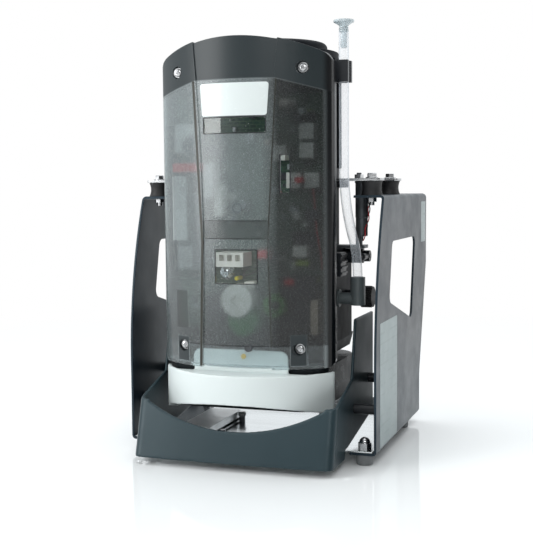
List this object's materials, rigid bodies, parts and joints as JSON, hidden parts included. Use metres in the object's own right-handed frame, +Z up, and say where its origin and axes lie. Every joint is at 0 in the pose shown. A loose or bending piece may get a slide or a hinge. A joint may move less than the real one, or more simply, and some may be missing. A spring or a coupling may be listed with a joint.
{
  "type": "dental suction and separator unit",
  "caption": "Dental suction and separator unit: smoked-cover control head and motor hung on rubber buffers in a sheet-metal carrying frame, with a drop-down collecting container.",
  "frame": {"origin": "centre of the footprint at floor level", "axes": "+Z up, -Y to the front cover, +X to the service hose side"},
  "size_m": [0.3102, 0.3795, 0.513],
  "materials": {
    "dark_sheet": "satin powder coat",
    "bright_sheet": "bright galvanised sheet",
    "steel": "zinc-plated steel",
    "grey_rod": "grey finish",
    "apron_plastic": "fine moulded grain",
    "black_rubber": "moulded rubber",
    "grey_rubber": "moulded rubber",
    "label_grey": "printed film, blank",
    "black_plastic": "semi-gloss moulding",
    "housing_black": "glass-filled moulding",
    "smoked_clear": "smoked translucent moulding",
    "clear_plastic": "clear moulding",
    "white_plate": "blank name plate",
    "board_green": "solder resist",
    "white_plastic": "component case",
    "dark_can": "sleeved can",
    "aluminium": "extruded",
    "copper_coil": "varnished winding",
    "laminations": "stacked sheet",
    "light_grey": "fine moulded grain",
    "smoke_tub": "tinted moulding",
    "white_float": "foam float",
    "clear_hose": "clear flexible hose",
    "grey_plug": "soft moulding"
  },
  "bodies": {
    "frame": {"right_side_plate": "dark_sheet", "left_side_plate": "dark_sheet", "base_pan": "bright_sheet", "feet": "grey_rubber", "foot_studs": "steel", "foot_nuts": "steel", "front_apron": "apron_plastic", "apron_spacers": "black_plastic", "rubber_buffers": "black_rubber", "buffer_studs": "steel", "buffer_nuts": "steel", "blank_labels": "label_grey", "pan_catch": "steel"},
    "unit": {"right_suspension_plate": "steel", "left_suspension_plate": "steel", "buffer_screws": "steel", "support_rods": "grey_rod", "rod_nuts": "steel", "front_cover": "smoked_clear", "clear_windows": "clear_plastic", "name_plate": "white_plate", "cover_screws": "steel", "control_tray": "black_plastic", "control_board": "board_green", "relays": "white_plastic", "capacitors": "dark_can", "terminal_block": "white_plastic", "heat_sink": "aluminium", "alarm_disc": "white_plastic", "choke_coil": "copper_coil", "motor_housing": "housing_black", "motor_cap": "housing_black", "stator": "laminations", "bearing_plate": "aluminium", "upper_bearing_plate": "aluminium", "bearings": "steel", "shaft_seal": "black_rubber", "turbine_cover": "aluminium", "separator_housing": "housing_black", "suction_spigot": "housing_black", "drain_spigot": "housing_black", "exhaust_spigot": "housing_black", "mains_gland": "black_plastic", "service_hose": "clear_hose", "hose_elbow": "black_plastic", "hose_clip": "black_plastic", "valve_box": "black_plastic", "drain_valve": "black_plastic"},
    "rotor": {"motor_shaft": "steel", "rotor_core": "laminations", "impeller": "black_plastic", "separator_drum": "smoke_tub"},
    "container": {"container_holder": "light_grey", "collecting_container": "smoke_tub", "container_seal": "black_rubber"},
    "level_float": {"level_float": "white_float"},
    "hose_plug": {"hose_plug": "grey_plug"},
    "drain_lever": {"drain_lever": "black_plastic"},
    "union_knob": {"union_knob": "black_rubber"},
    "service_button": {"service_button": "grey_plug"}
  },
  "joints": [
    {"name": "unit_float", "type": "slide", "parent": "frame", "child": "unit", "axis": [0, 0, 1], "range_m": [-0.003, 0.003], "stiffness_N_per_m": 60000, "springref_m": 0.00206, "deforming": ["rubber_buffers"]},
    {"name": "rotor_spin", "type": "hinge", "parent": "unit", "child": "rotor", "pos_m": [0, -0.01825, 0.3], "axis": [0, 0, 1], "continuous": true},
    {"name": "container_drop", "type": "slide", "parent": "unit", "child": "container", "axis": [0, 0, -1], "range_m": [0, 0.024]},
    {"name": "float_rise", "type": "slide", "parent": "container", "child": "level_float", "axis": [0, 0, 1], "range_m": [0, 0.018]},
    {"name": "plug_pull", "type": "slide", "parent": "unit", "child": "hose_plug", "axis": [0, 0, 1], "range_m": [0, 0.025]},
    {"name": "lever_turn", "type": "hinge", "parent": "unit", "child": "drain_lever", "pos_m": [0.12, -0.01825, 0.237], "axis": [1, 0, 0], "range_deg": [0, 90]},
    {"name": "knob_turn", "type": "hinge", "parent": "unit", "child": "union_knob", "pos_m": [0.112, -0.01225, 0.186], "axis": [1, 0, 0], "continuous": true},
    {"name": "button_press", "type": "slide", "parent": "unit", "child": "service_button", "axis": [0, 1, 0], "range_m": [0, 0.0015], "stiffness_N_per_m": 2000, "springref_m": -0.0005}
  ]
}
